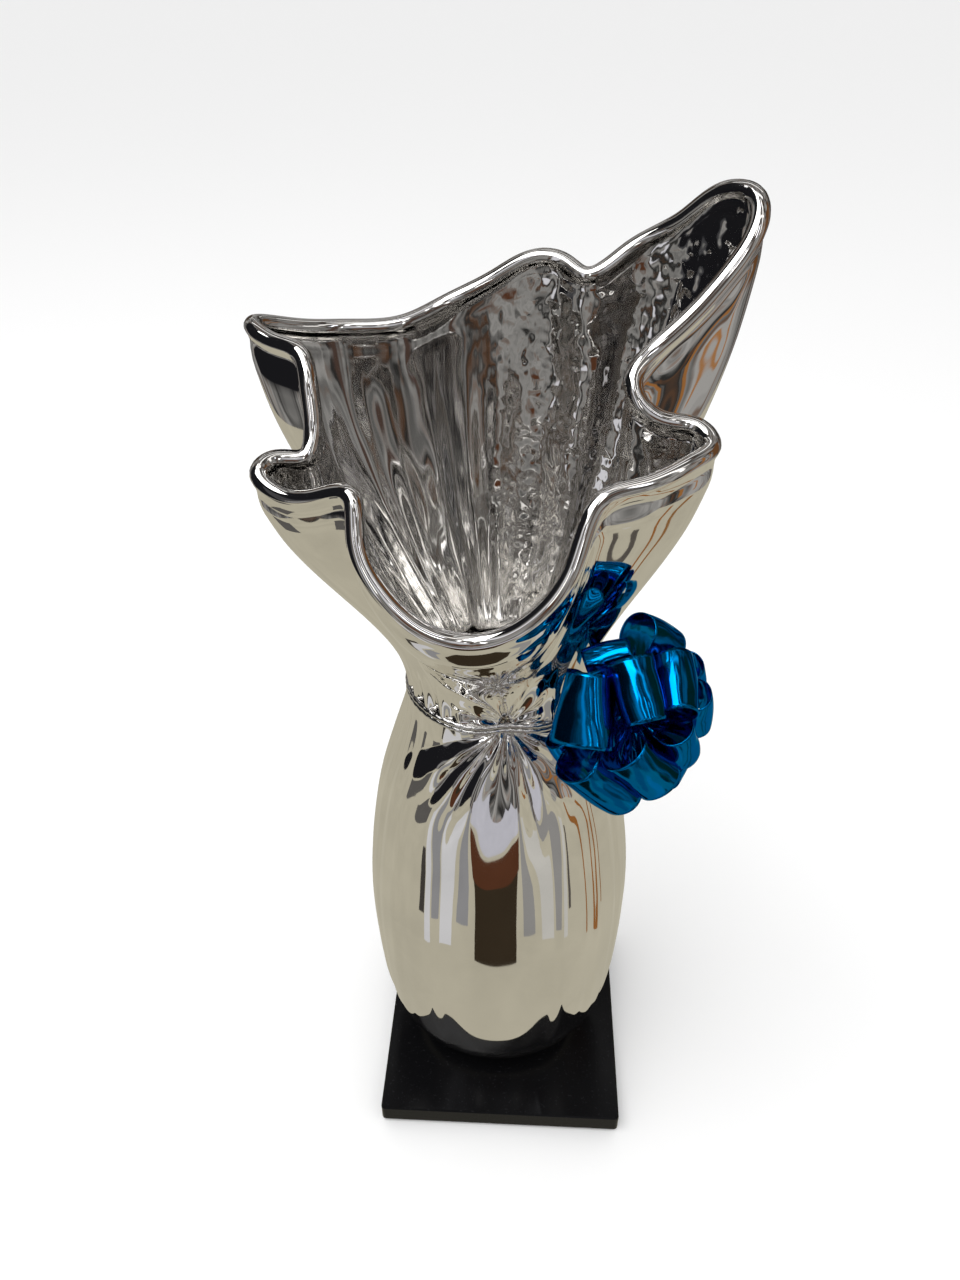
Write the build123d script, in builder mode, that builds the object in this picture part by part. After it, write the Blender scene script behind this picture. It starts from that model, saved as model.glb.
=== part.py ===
from build123d import *
from math import cos, hypot, pi, radians, sin
import os

# Trophy vase in the shape of a gathered cloth sack, on a flat square slab, with a ribbon bow at
# its waist. Millimetres. The origin is the centre of the felt's underside, +Z is up and -Y is
# the front, where the mouth dips lowest.

# ---------------------------------------------------------------- driving dimensions
slab_side = 90.0
slab_thickness = 7.5
slab_corner_radius = 1.5
slab_edge_chamfer = 0.5
felt_inset = 2.5
felt_thickness = 1.5

axis_x = -2.6                   # the vessel stands a little left of the slab's centre
axis_y = 2.0                    # and a little behind it
wall = 3.6
floor_thickness = 5.0
pleat_depth = 0.8               # how far the belly's soft pleats swell out
pleat_count = 8
rim_bead = 5.0                  # thickness of the rolled edge
bead_blend = 6.0                # the wall starts to thicken this far below the bead's middle
hole_overrun = 6.0              # how far a cut reaches past the floor that it goes through
outline_points = 120            # on each cross-section
first_bearing = -8.0            # of an outline's first point, from the front to the right

screw_diameter = 5.0
screw_head_diameter = 9.4
screw_head_recess = 0.2
hole_clearance = 0.6
nut_across_flats = 8.0
nut_height = 4.0
thread_past_nut = 2.0
washer_diameter = 15.0
washer_thickness = 1.2
gasket_thickness = 1.0
foot_gasket_diameter = 34.0
inner_gasket_diameter = 18.0

cord_diameter = 1.8
cord_turns = 2
cord_gap = 0.1                  # between one turn and the next
cord_seat_depth = 0.5           # how deep the turns bed into the gathered waist
knot_radius = 2.6
knot_clearance = 0.2

bow_bearing = -41.0             # direction of the bow from the vessel's axis, in plan
bow_reach = 19.0                # from the waist's surface out to the bow's centre
bow_rise = 14.0                 # height of the bow's centre over the waist
core_radius = 5.3
stem_radius = 2.6
binding_width = 3.0
binding_thickness = 0.8
foil = 0.5                      # thickness of a ribbon loop
root_width = 2.1                # of a gathered loop where it leaves the core
root_thickness = 1.4
full_width_at = 0.72           # share of its length at which a loop has its full width

# Belly, from the foot to the waist: height over the foot, half width, half depth
belly_profile = [
    (0, 26.0, 22.0),
    (3, 31.0, 26.5),
    (8, 35.6, 30.3),
    (16, 39.8, 33.6),
    (30, 43.3, 36.6),
    (50, 45.0, 38.2),
    (74, 45.6, 38.9),
    (96, 44.4, 38.0),
    (116, 41.8, 36.0),
    (134, 38.4, 33.5),
    (148, 34.4, 31.0),
    (158, 31.2, 28.6),
    (166, 28.8, 26.8),
    (173, 27.8, 25.8),
]

# Middle of the mouth's rolled edge, from the front round by the right: X and Y from the
# vessel's axis, height over the waist. The edge folds in deeply once on each side.
rim_points = [
    (-4.5, -43, 45),
    (9.5, -42, 52),
    (17.5, -38, 62),
    (20.5, -33, 70),
    (24.5, -28, 76.5),
    (35.5, -24, 79),
    (46.5, -18, 82),
    (51.5, -12, 84),
    (49, -7, 86),
    (40.5, -5, 87),
    (34, -3, 91),
    (32.5, 0, 95),
    (36.5, 5, 100),
    (45.5, 10, 107),
    (55.5, 16, 117),
    (62, 22, 127.5),
    (61.5, 28, 132),
    (55.5, 34, 132),
    (46, 40, 123.5),
    (33.5, 42.5, 115.5),
    (21, 40.5, 109),
    (15.5, 44, 111.5),
    (7.5, 46, 112),
    (-3.5, 46, 106.5),
    (-17.5, 43.5, 100),
    (-29.5, 38, 96),
    (-45.5, 35.5, 95.5),
    (-58.5, 30, 97.5),
    (-67.5, 22, 100.5),
    (-61.5, 16, 98.5),
    (-52.5, 10, 97),
    (-50, 4, 91),
    (-49, -2, 80),
    (-50.5, -6, 76),
    (-58.5, -8, 76),
    (-61.5, -12, 74.5),
    (-57, -17, 71.5),
    (-44.5, -22, 73),
    (-35.5, -27, 76),
    (-34, -33, 68),
    (-28.5, -39.5, 57.5),
    (-17.5, -43, 48),
]
flare_power = 1.75              # above 1 the mouth opens out late on its way up
flare_power_per_y = -0.02       # so the front opens later than the back
mouth_rows = 12                 # outlines between the waist and the rolled edge
bead_angles = [-45, 0, 45, 90, 135, 180, 225]

# Ribbon loops: tilt away from the bow's axis, turn about that axis from straight up towards the
# front, roll of the ribbon about the loop's own direction, length, opening, ribbon width
bow_loops = [
    (89, 57, 19, 27.5, 12.5, 16),
    (63, 27, 50, 26.5, 10.5, 14),
    (94, -41, 24, 26.5, 9.5, 14),
    (47, -14, 57, 24.5, 9.5, 14),
    (-1, -2, -39, 23, 9, 12.5),
    (40, 96, 35, 26.5, 11.5, 14),
    (71, 116, 28, 27.5, 12.5, 16),
    (104, 10, -42, 22, 8, 10.5),
    (42, -165, -31, 24.5, 9.5, 12.5),
    (104, -84, -75, 24, 9.5, 12.5),
    (63, -73, 4, 24.5, 9, 12.5),
    (83, -131, 35, 24.5, 9, 12.5),
    (77, 163, 81, 24.5, 9.5, 12.5),
    (36, -77, 8, 24, 9, 12.5),
    (85, -170, 77, 23, 8, 10.5),
    (106, 120, 28, 23, 8.5, 11),
]

# ---------------------------------------------------------------- heights and places
slab_top = felt_thickness + slab_thickness
foot_z = slab_top + gasket_thickness
floor_z = foot_z + floor_thickness
belly_height, waist_half_width, waist_half_depth = belly_profile[-1]
waist_z = foot_z + belly_height
inner_gasket_top = floor_z + gasket_thickness
washer_top = inner_gasket_top + washer_thickness
nut_top = washer_top + nut_height
screw_top = nut_top + thread_past_nut
screw_hole_radius = (screw_diameter + hole_clearance) / 2

bearings = [radians(first_bearing + 360 * i / outline_points) for i in range(outline_points)]
even_steps = [i / outline_points for i in range(outline_points + 1)]
with BuildLine() as rim_line:
    Spline(*rim_points, periodic=True)
rim_samples = [rim_line.line @ step for step in even_steps[:-1]]


# ---------------------------------------------------------------- outlines of the vessel
def shifted(outline, distance):
    """Move a closed outline along its normals, outwards for a positive distance."""
    moved = []
    for i, (x, y) in enumerate(outline):
        before = outline[i - 1]
        after = outline[(i + 1) % len(outline)]
        along_x = after[0] - before[0]
        along_y = after[1] - before[1]
        length = hypot(along_x, along_y)
        moved.append((x + distance * along_y / length, y - distance * along_x / length))
    return moved


def belly_outline(height):
    """Oval with soft pleats, which fade out at the foot and at the waist."""
    for low, high in zip(belly_profile, belly_profile[1:]):
        if height <= high[0]:
            break
    share = (height - low[0]) / (high[0] - low[0])
    half_width = low[1] + share * (high[1] - low[1])
    half_depth = low[2] + share * (high[2] - low[2])
    swell = pleat_depth * sin(pi * height / belly_height)
    outline = []
    for bearing in bearings:
        pleat = 0.7 * cos(pleat_count * bearing) + 0.3 * cos(2 * pleat_count * bearing)
        outline.append((
            (half_width + swell * pleat) * sin(bearing),
            -(half_depth + swell * pleat) * cos(bearing),
        ))
    return outline


waist_outline = belly_outline(belly_height)
rim_middle = [(sample.X, sample.Y) for sample in rim_samples]
rim_outline = shifted(rim_middle, wall / 2)


def mouth_row(share, inset):
    """Row of points round the mouth, at this share of the height up to the rolled edge.

    The oval waist opens out to the rim's folds as the row rises, later at the front than behind.
    """
    outline = []
    rises = []
    for start, end, sample in zip(waist_outline, rim_outline, rim_samples):
        rise = share * (sample.Z - bead_blend)
        power = flare_power + flare_power_per_y * sample.Y
        opening = sin(pi / 2 * rise / sample.Z) ** power
        outline.append((
            start[0] + (end[0] - start[0]) * opening,
            start[1] + (end[1] - start[1]) * opening,
        ))
        rises.append(rise)
    outline = shifted(outline, -inset)
    return [Vector(x, y, waist_z + rise) for (x, y), rise in zip(outline, rises)]


def belly_row(height, inset):
    """Level row of points round the belly, at this height over the foot."""
    return [Vector(x, y, foot_z + height) for x, y in shifted(belly_outline(height), -inset)]


def bead_row(angle):
    """Row of points along the rolled edge, at this angle round its section from outside."""
    row = []
    for i, sample in enumerate(rim_samples):
        along = (rim_samples[(i + 1) % outline_points] - rim_samples[i - 1]).normalized()
        sideways = Vector(along.Y, -along.X, 0).normalized()
        upwards = sideways.cross(along)
        reach = sideways * cos(radians(angle)) + upwards * sin(radians(angle))
        row.append(sample + Vector(0, 0, waist_z) + reach * (rim_bead / 2))
    return row


def row_wire(row):
    """Smooth closed curve through a row of points, placed round the vessel's axis."""
    points = [point + Vector(axis_x, axis_y, 0) for point in row]
    return Wire([Edge.make_spline(points, periodic=True, parameters=even_steps)])


# The wall in one skin: up the outside from the foot, over the rolled edge and down the inside
belly_heights = [height for height, _, _ in belly_profile]
mouth_shares = [(step + 1) / mouth_rows for step in range(mouth_rows)]
inner_heights = [height for height in belly_heights if height > floor_thickness + 2]
rows = [belly_row(height, 0) for height in belly_heights]
rows += [mouth_row(share, 0) for share in mouth_shares]
rows += [bead_row(angle) for angle in bead_angles]
rows += [mouth_row(share, wall) for share in reversed(mouth_shares)]
rows += [belly_row(height, wall) for height in reversed(inner_heights)]
rows += [belly_row(floor_thickness, wall)]

# ---------------------------------------------------------------- slab and its felt
with BuildPart() as base_felt:
    with BuildSketch():
        RectangleRounded(slab_side - 2 * felt_inset, slab_side - 2 * felt_inset,
                         slab_corner_radius)
    extrude(amount=felt_thickness)

with BuildPart() as base_slab:
    with BuildSketch(Plane.XY.offset(felt_thickness)):
        RectangleRounded(slab_side, slab_side, slab_corner_radius)
    extrude(amount=slab_thickness)
    chamfer(base_slab.faces().sort_by(Axis.Z)[-1].edges(), slab_edge_chamfer)
    with Locations(Plane((axis_x, axis_y, felt_thickness), z_dir=(0, 0, -1))):
        CounterSinkHole(screw_hole_radius, screw_head_diameter / 2 + screw_head_recess,
                        counter_sink_angle=90)

# ---------------------------------------------------------------- vessel
cord_pitch = cord_diameter + cord_gap
cord_heights = [
    waist_z + cord_pitch * (turn - (cord_turns - 1) / 2) for turn in range(cord_turns)
]
cord_half_width = waist_half_width + cord_diameter / 2 - cord_seat_depth
cord_half_depth = waist_half_depth + cord_diameter / 2 - cord_seat_depth

with BuildPart() as waist_cord:
    for height in cord_heights:
        with BuildLine(Plane((axis_x, axis_y, height))) as turn_line:
            EllipticalCenterArc((0, 0), cord_half_width, cord_half_depth, arc_size=360)
        with BuildSketch(Plane(turn_line.line @ 0, z_dir=turn_line.line % 0)):
            Circle(cord_diameter / 2)
        sweep(path=turn_line.line)

with BuildPart() as vessel:
    add(Solid.make_loft([row_wire(row) for row in rows]))
    with Locations((axis_x, axis_y, foot_z)):
        Cylinder(screw_hole_radius, floor_thickness + hole_overrun,
                 align=(Align.CENTER, Align.CENTER, Align.MIN), mode=Mode.SUBTRACT)
    add(waist_cord.part, mode=Mode.SUBTRACT)


# ---------------------------------------------------------------- clamp through the foot
def ring(diameter, bore, thickness, bottom):
    """Flat ring round the vessel's axis."""
    with BuildPart() as flat_ring:
        with BuildSketch(Plane((axis_x, axis_y, bottom))):
            Circle(diameter / 2)
            Circle(bore / 2, mode=Mode.SUBTRACT)
        extrude(amount=thickness)
    return flat_ring


foot_gasket = ring(foot_gasket_diameter, 2 * screw_hole_radius, gasket_thickness, slab_top)
inner_gasket = ring(inner_gasket_diameter, 2 * screw_hole_radius, gasket_thickness, floor_z)
inner_washer = ring(washer_diameter, 2 * screw_hole_radius, washer_thickness, inner_gasket_top)

with BuildPart() as clamp_nut:
    with BuildSketch(Plane((axis_x, axis_y, washer_top))):
        RegularPolygon(nut_across_flats / 2, 6, major_radius=False)
        Circle(screw_diameter / 2, mode=Mode.SUBTRACT)
    extrude(amount=nut_height)

with BuildPart() as clamp_screw:
    head_bottom = felt_thickness + screw_head_recess
    head_height = (screw_head_diameter - screw_diameter) / 2
    with BuildSketch(Plane((axis_x, axis_y, head_bottom))):
        Circle(screw_head_diameter / 2)
    with BuildSketch(Plane((axis_x, axis_y, head_bottom + head_height))):
        Circle(screw_diameter / 2)
    loft()
    with BuildSketch(Plane((axis_x, axis_y, head_bottom + head_height))):
        Circle(screw_diameter / 2)
    extrude(amount=screw_top - head_bottom - head_height)

# ---------------------------------------------------------------- bow
bow_axis = Vector(cos(radians(bow_bearing)), sin(radians(bow_bearing)), 0)
waist_radius = 1 / hypot(bow_axis.X / waist_half_width, bow_axis.Y / waist_half_depth)
vessel_axis = Vector(axis_x, axis_y, waist_z)
knot_centre = vessel_axis + bow_axis * (waist_radius + knot_radius + knot_clearance)
bow_centre = vessel_axis + bow_axis * (waist_radius + bow_reach) + Vector(0, 0, bow_rise)
bow_plane = Plane(bow_centre, x_dir=(0, 0, 1), z_dir=bow_axis)
stem = bow_centre - knot_centre

with BuildPart() as cord_knot:
    with Locations(knot_centre):
        Sphere(knot_radius)
    add(waist_cord.part, mode=Mode.SUBTRACT)

with BuildPart() as bow_core:
    with BuildSketch(Plane(knot_centre, z_dir=stem)):
        Circle(stem_radius)
    extrude(amount=stem.length)
    with Locations(bow_centre):
        Sphere(core_radius)
    with Locations(knot_centre):
        Sphere(knot_radius, mode=Mode.SUBTRACT)

with BuildPart() as bow_binding:
    binding_middle = knot_centre + stem * 0.5
    with BuildSketch(Plane(binding_middle, z_dir=stem)):
        Circle(stem_radius + binding_thickness)
        Circle(stem_radius, mode=Mode.SUBTRACT)
    extrude(amount=binding_width / 2, both=True)


def ribbon_loop(tilt, turn, roll, length, opening, width):
    """Band of ribbon bent to a drop and gathered to a narrow root at the bow's core."""
    turned = bow_plane.location * Rotation(0, 0, turn) * Rotation(0, tilt, 0)
    loop_frame = Plane(turned * Rotation(0, 0, roll))
    tip_at = length - opening / 2
    with BuildPart() as loop:
        with BuildSketch(Plane(bow_centre, x_dir=loop_frame.z_dir, z_dir=loop_frame.y_dir)):
            with Locations((core_radius - root_thickness / 2, 0)):
                Circle(root_thickness / 2)
            with Locations((tip_at, 0)):
                Circle(opening / 2)
            make_hull()
            offset(amount=-foil, mode=Mode.SUBTRACT)
        extrude(amount=width / 2, both=True)
        with BuildSketch(Plane(bow_centre, x_dir=loop_frame.z_dir, z_dir=loop_frame.x_dir)):
            with BuildLine():
                Polyline(
                    (0, root_width / 2),
                    (length * full_width_at, width / 2),
                    (length, width / 2),
                    (length, -width / 2),
                    (length * full_width_at, -width / 2),
                    (0, -root_width / 2),
                    close=True,
                )
            make_face()
        extrude(amount=opening, both=True, mode=Mode.INTERSECT)
        with Locations(bow_centre):
            Sphere(core_radius, mode=Mode.SUBTRACT)
    return loop


# ---------------------------------------------------------------- files
pieces = {
    "base_felt": base_felt,
    "base_slab": base_slab,
    "vessel": vessel,
    "foot_gasket": foot_gasket,
    "inner_gasket": inner_gasket,
    "inner_washer": inner_washer,
    "clamp_nut": clamp_nut,
    "clamp_screw": clamp_screw,
    "waist_cord": waist_cord,
    "cord_knot": cord_knot,
    "bow_core": bow_core,
    "bow_binding": bow_binding,
}
for number, sizes in enumerate(bow_loops, start=1):
    pieces[f"bow_loop_{number:02d}"] = ribbon_loop(*sizes)

os.makedirs("parts", exist_ok=True)
for name, piece in pieces.items():
    piece.part.label = name
    export_step(piece.part, f"parts/{name}.step")
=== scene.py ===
import math

import bpy
import numpy as np
from mathutils import Matrix, Vector


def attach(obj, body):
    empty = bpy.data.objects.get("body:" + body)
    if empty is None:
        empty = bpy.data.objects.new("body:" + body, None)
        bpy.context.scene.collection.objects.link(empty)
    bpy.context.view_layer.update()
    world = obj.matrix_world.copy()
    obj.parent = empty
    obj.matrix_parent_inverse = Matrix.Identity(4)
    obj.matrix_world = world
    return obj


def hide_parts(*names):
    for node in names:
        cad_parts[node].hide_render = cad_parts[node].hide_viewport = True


bl_info = {
    "name": "Gathered sack trophy vase",
    "version": (1, 0, 0),
    "blender": (4, 5, 0),
    "location": "3D View > Sidebar > Trophy vase",
    "description": "Makes the mirror-glazed sack vase, its bow, its slab and its studio",
    "category": "Add Mesh",
}

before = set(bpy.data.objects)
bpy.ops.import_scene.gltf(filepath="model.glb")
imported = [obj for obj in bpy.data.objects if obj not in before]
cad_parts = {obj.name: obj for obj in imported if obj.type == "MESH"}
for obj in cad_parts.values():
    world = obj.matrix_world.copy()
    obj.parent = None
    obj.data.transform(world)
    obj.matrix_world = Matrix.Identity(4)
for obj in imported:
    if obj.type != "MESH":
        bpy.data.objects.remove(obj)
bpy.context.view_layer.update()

MM = 0.001

# ------------------------------------------------------------------ sizes, in millimetres
FOOT_Z = 10.0
FLOOR_THICKNESS = 5.0
WAIST_Z = 183.0
AXIS = np.array([-2.6, 2.0, 0.0])       # the vessel's axis
SCREW_HOLE_RADIUS = 2.8
FIRST_BEARING = -8.0                    # of column 0, from the front to the right, in degrees
COLUMNS = 480                           # points round each row of the vessel
NORMAL_REACH = 4                        # columns on each side that give a row's direction
MOUTH_ROWS = 12
FLARE_POWER = 1.75                      # above 1 the mouth opens out late on its way up
FLARE_POWER_PER_Y = -0.02               # so the front opens later than the back
BEAD_ANGLES = [-45, 0, 45, 90, 135, 180, 225]   # rows round the rolled edge's section
BEAD_BLEND = 6.0                        # the wall starts to thicken this far below the edge
PLEAT_SWELL = 0.8
PLEAT_COUNT = 8

# Belly, from the foot to the waist: height over the foot, half width, half depth
BELLY_PROFILE = [
    (0, 26.0, 22.0), (3, 31.0, 26.5), (8, 35.6, 30.3), (16, 39.8, 33.6), (30, 43.3, 36.6),
    (50, 45.0, 38.2), (74, 45.6, 38.9), (96, 44.4, 38.0), (116, 41.8, 36.0), (134, 38.4, 33.5),
    (148, 34.4, 31.0), (158, 31.2, 28.6), (166, 28.8, 26.8), (173, 27.8, 25.8),
]

# Middle of the mouth's rolled edge, from the front round by the right: X and Y from the
# vessel's axis, height over the waist
RIM_POINTS = [
    (-4.5, -43, 45), (9.5, -42, 52), (17.5, -38, 62), (20.5, -33, 70), (24.5, -28, 76.5),
    (35.5, -24, 79), (46.5, -18, 82), (51.5, -12, 84), (49, -7, 86), (40.5, -5, 87), (34, -3, 91),
    (32.5, 0, 95), (36.5, 5, 100), (45.5, 10, 107), (55.5, 16, 117), (62, 22, 127.5),
    (61.5, 28, 132), (55.5, 34, 132), (46, 40, 123.5), (33.5, 42.5, 115.5), (21, 40.5, 109),
    (15.5, 44, 111.5), (7.5, 46, 112), (-3.5, 46, 106.5), (-17.5, 43.5, 100), (-29.5, 38, 96),
    (-45.5, 35.5, 95.5), (-58.5, 30, 97.5), (-67.5, 22, 100.5), (-61.5, 16, 98.5),
    (-52.5, 10, 97), (-50, 4, 91), (-49, -2, 80), (-50.5, -6, 76), (-58.5, -8, 76),
    (-61.5, -12, 74.5), (-57, -17, 71.5), (-44.5, -22, 73), (-35.5, -27, 76), (-34, -33, 68),
    (-28.5, -39.5, 57.5), (-17.5, -43, 48),
]

# Bearings of the belly's soft creases, from the front to the right, in degrees
CREASES = [-175, -151, -133, -109, -88, -68, -46, -24, 26, 47, 69, 86, 108, 131, 152]

BOW_BEARING = -41.0
BOW_REACH = 19.0
BOW_RISE = 14.0
KNOT_RADIUS = 2.6
KNOT_CLEARANCE = 0.2

# Ribbon loops: tilt away from the bow's axis, turn about that axis from straight up towards
# the front, roll about the loop's own direction, length, opening, ribbon width, flare of the
# opening from one edge of the ribbon to the other
BOW_LOOPS = [
    (89, 57, 19, 27.5, 14, 19, 0.22),
    (63, 27, 50, 26.5, 11.5, 17, -0.10),
    (94, -41, -8, 26.5, 10.5, 17, 0.0),
    (47, -14, 57, 24.5, 10.5, 17, 0.0),
    (-1, -2, -62, 23, 10, 15, 0.0),
    (40, 96, 35, 26.5, 12.5, 17, 0.0),
    (71, 116, 28, 27.5, 14, 19, 0.0),
    (104, 10, -42, 22, 9, 12.5, 0.0),
    (42, -165, -31, 24.5, 10.5, 15, 0.0),
    (104, -84, -75, 24, 10.5, 15, 0.0),
    (63, -73, 4, 24.5, 10, 15, 0.0),
    (83, -131, 35, 24.5, 10, 15, 0.0),
    (77, 163, 81, 24.5, 10.5, 15, 0.0),
    (36, -77, 8, 24, 10, 15, 0.0),
    (85, -170, 77, 23, 9, 12.5, 0.0),
    (106, 120, 28, 23, 9.5, 13, 0.0),
]


# ------------------------------------------------------------------ user's settings
def length_setting(name, description, default):
    """A size in metres, shown in the scene's own units."""
    return bpy.props.FloatProperty(name=name, description=description, default=default,
                                   min=0.0, subtype="DISTANCE", unit="LENGTH", precision=5)


def colour_setting(name, description, default):
    """A linear colour."""
    return bpy.props.FloatVectorProperty(name=name, description=description, default=default,
                                         size=3, min=0.0, max=1.0, subtype="COLOR")


class VesselSettings(bpy.types.PropertyGroup):
    """Sizes and colour of the mirror-glazed sack."""
    wall: length_setting("Wall", "Thickness of the ceramic wall", 3.6 * MM)
    bead: length_setting("Rolled edge", "Diameter of the mouth's rolled edge", 5.0 * MM)
    lobe_depth: length_setting("Lobe depth", "How far the belly's lobes swell out", 0.7 * MM)
    gather_depth: length_setting("Gather depth", "Height of the pleats at the tie", 1.1 * MM)
    flute_depth: length_setting("Flute depth", "Height of the flutes inside the mouth", 0.7 * MM)
    silver: colour_setting("Silver", "Colour of the mirror glaze", (0.88, 0.865, 0.84))


class CordSettings(bpy.types.PropertyGroup):
    """Size and colour of the cord round the waist."""
    diameter: length_setting("Cord", "Diameter of the waist's cord", 1.6 * MM)
    silver: colour_setting("Thread", "Colour of the cord's metallic thread", (0.80, 0.79, 0.77))


class BowSettings(bpy.types.PropertyGroup):
    """Sizes and colour of the foil ribbon."""
    foil: length_setting("Foil", "Thickness of the ribbon", 0.3 * MM)
    core_radius: length_setting("Core", "Radius of the bow's gathered middle", 5.3 * MM)
    blue: colour_setting("Foil blue", "Colour of the metallic foil", (0.0, 0.19, 0.52))


class BaseSettings(bpy.types.PropertyGroup):
    """Colours of the slab, the felt and the clamp through the foot."""
    black: colour_setting("Slab black", "Colour of the polished slab", (0.004, 0.004, 0.0045))
    felt: colour_setting("Felt", "Colour of the felt under the slab", (0.018, 0.018, 0.020))
    steel: colour_setting("Steel", "Colour of the screw, nut and washer", (0.56, 0.57, 0.59))


class StageSettings(bpy.types.PropertyGroup):
    """Colours of the floor and of what the glaze mirrors."""
    floor: colour_setting("Floor", "Colour of the plain floor", (0.93, 0.93, 0.93))
    table: colour_setting("Table card", "Cream card that the glaze mirrors", (0.46, 0.43, 0.34))
    room: colour_setting("Room", "Grey that the glaze mirrors all round", (0.11, 0.108, 0.105))


SETTINGS = {
    "sack_vase_vessel": VesselSettings,
    "sack_vase_cord": CordSettings,
    "sack_vase_bow": BowSettings,
    "sack_vase_base": BaseSettings,
    "sack_vase_stage": StageSettings,
}


# ------------------------------------------------------------------ curves and grids
def smooth_step(low, high, at):
    """0 below low, 1 above high and an S-shaped cubic between them."""
    share = np.clip((at - low) / (high - low), 0, 1)
    return share * share * (3 - 2 * share)


def unit(vectors):
    """Vectors divided by their own lengths."""
    return vectors / np.maximum(np.linalg.norm(vectors, axis=-1, keepdims=True), 1e-12)


def closed_spline(points, count):
    """Evenly spaced points on the smooth closed curve through the given points.

    A cubic runs between each two points, over their chord as the parameter. The second
    derivatives solve the cyclic system that makes slope and curvature continuous. The curve
    is then divided evenly along its length.
    """
    points = np.asarray(points, float)
    chord = np.linalg.norm(np.roll(points, -1, 0) - points, axis=1)
    before = np.roll(chord, 1)
    eye = np.eye(len(points))
    system = (np.roll(eye, -1, 1) * before[:, None] + eye * 2 * (before + chord)[:, None]
              + np.roll(eye, 1, 1) * chord[:, None])
    slope = (np.roll(points, -1, 0) - points) / chord[:, None]
    bend = np.linalg.solve(system, 6 * (slope - np.roll(slope, 1, 0)))
    knots = np.concatenate([[0], np.cumsum(chord)])
    at = np.linspace(0, knots[-1], 60 * len(points), endpoint=False)
    k = np.searchsorted(knots, at, side="right") - 1
    after = (k + 1) % len(points)
    up = (at - knots[k])[:, None]
    down = (knots[k + 1] - at)[:, None]
    span = chord[k][:, None]
    fine = ((bend[k] * down ** 3 + bend[after] * up ** 3) / (6 * span)
            + (points[k] / span - bend[k] * span / 6) * down
            + (points[after] / span - bend[after] * span / 6) * up)
    fine = np.vstack([fine, fine[:1]])
    along = np.concatenate([[0], np.cumsum(np.linalg.norm(np.diff(fine, axis=0), axis=1))])
    even = np.linspace(0, along[-1], count, endpoint=False)
    return np.stack([np.interp(even, along, fine[:, axis]) for axis in range(3)], 1)


def spline_weights(knots, at):
    """Matrix that takes values at the knots to the natural cubic spline through them."""
    span = np.diff(knots)
    eye = np.eye(len(knots))
    slope = (eye[1:] - eye[:-1]) / span[:, None]
    inner = np.arange(1, len(knots) - 1)
    system = eye.copy()
    system[inner, inner - 1] = span[:-1]
    system[inner, inner] = 2 * (span[:-1] + span[1:])
    system[inner, inner + 1] = span[1:]
    right = np.zeros_like(eye)
    right[inner] = 6 * (slope[1:] - slope[:-1])
    bend = np.linalg.solve(system, right)
    k = np.clip(np.searchsorted(knots, at, side="right") - 1, 0, len(span) - 1)
    up = (at - knots[k])[:, None]
    down = (knots[k + 1] - at)[:, None]
    gap = span[k][:, None]
    return ((bend[k] * down ** 3 + bend[k + 1] * up ** 3) / (6 * gap)
            + (eye[k] / gap - bend[k] * gap / 6) * down
            + (eye[k + 1] / gap - bend[k + 1] * gap / 6) * up)


def shifted(outline, distance, reach=NORMAL_REACH):
    """Closed outline moved along its normals in plan, outwards for a positive distance."""
    along = unit(np.roll(outline, -reach, 0)[:, :2] - np.roll(outline, reach, 0)[:, :2])
    moved = outline.copy()
    moved[:, 0] += distance * along[:, 1]
    moved[:, 1] -= distance * along[:, 0]
    return moved


def grid_normals(grid, closed_rows=False):
    """Unit normals of a grid of points: the cross product of its two central differences."""
    across = np.roll(grid, -1, 1) - np.roll(grid, 1, 1)
    if closed_rows:
        up = np.roll(grid, -1, 0) - np.roll(grid, 1, 0)
    else:
        up = np.gradient(grid, axis=0)
    return unit(np.cross(across, up))


def grid_faces(rows, columns, close_rows, close_columns):
    """Quads between neighbouring points of a grid, wound the same way all over."""
    r = np.arange(rows if close_rows else rows - 1)[:, None]
    c = np.arange(columns if close_columns else columns - 1)[None, :]
    r, c = np.broadcast_arrays(r, c)
    r2, c2 = (r + 1) % rows, (c + 1) % columns
    return np.stack([r * columns + c, r * columns + c2, r2 * columns + c2, r2 * columns + c],
                    -1).reshape(-1, 4)


def mesh_piece(name, points, faces, material, attributes=None):
    """New mesh object from points in millimetres, smooth all over, at the origin."""
    points = np.asarray(points, float).reshape(-1, 3) * MM
    mesh = bpy.data.meshes.new(name)
    mesh.vertices.add(len(points))
    mesh.vertices.foreach_set("co", points.astype(np.float32).ravel())
    mesh.loops.add(faces.size)
    mesh.loops.foreach_set("vertex_index", faces.astype(np.int32).ravel())
    mesh.polygons.add(len(faces))
    starts = np.arange(len(faces), dtype=np.int32) * faces.shape[1]
    mesh.polygons.foreach_set("loop_start", starts)
    mesh.update(calc_edges=True)
    mesh.validate()
    mesh.polygons.foreach_set("use_smooth", np.ones(len(mesh.polygons), bool))
    for key, values in (attributes or {}).items():
        values = np.asarray(values, np.float32)
        if values.ndim > 1 and values.shape[-1] == 3:
            mesh.attributes.new(key, "FLOAT_VECTOR", "POINT").data.foreach_set(
                "vector", values.ravel())
        else:
            mesh.attributes.new(key, "FLOAT", "POINT").data.foreach_set("value", values.ravel())
    mesh.materials.append(material)
    piece = bpy.data.objects.new(name, mesh)
    bpy.context.scene.collection.objects.link(piece)
    return piece


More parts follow.
